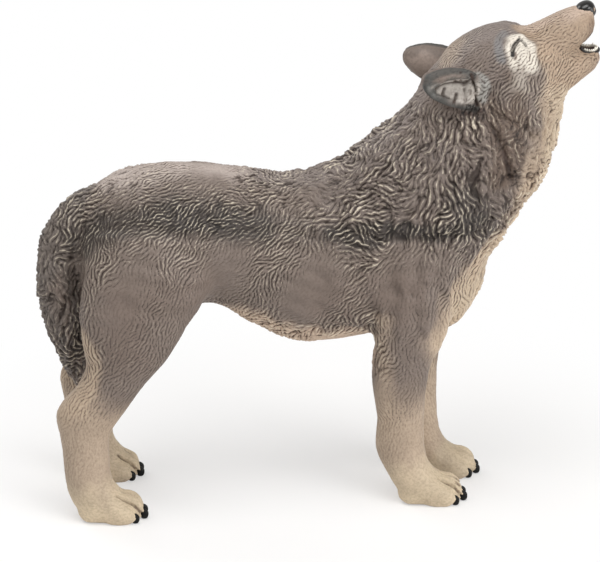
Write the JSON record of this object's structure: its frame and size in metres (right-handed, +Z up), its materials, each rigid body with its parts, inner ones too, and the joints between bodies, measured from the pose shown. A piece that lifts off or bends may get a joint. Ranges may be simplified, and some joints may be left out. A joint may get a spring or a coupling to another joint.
{
  "type": "wolf figurine",
  "caption": "Standing wolf figurine, howling with its head raised, cast in one piece with carved fur, flat paws and a hanging tail.",
  "frame": {"origin": "on the ground, under the middle of the wolf's outline", "axes": "+X towards the head, +Y to the wolf's left, +Z up"},
  "size_m": [0.0942, 0.0276, 0.0864],
  "materials": {
    "vinyl": "painted solid vinyl, dry-brushed grey-brown and cream, satin-matt"
  },
  "bodies": {
    "root": {"wolf": "vinyl"}
  },
  "joints": []
}
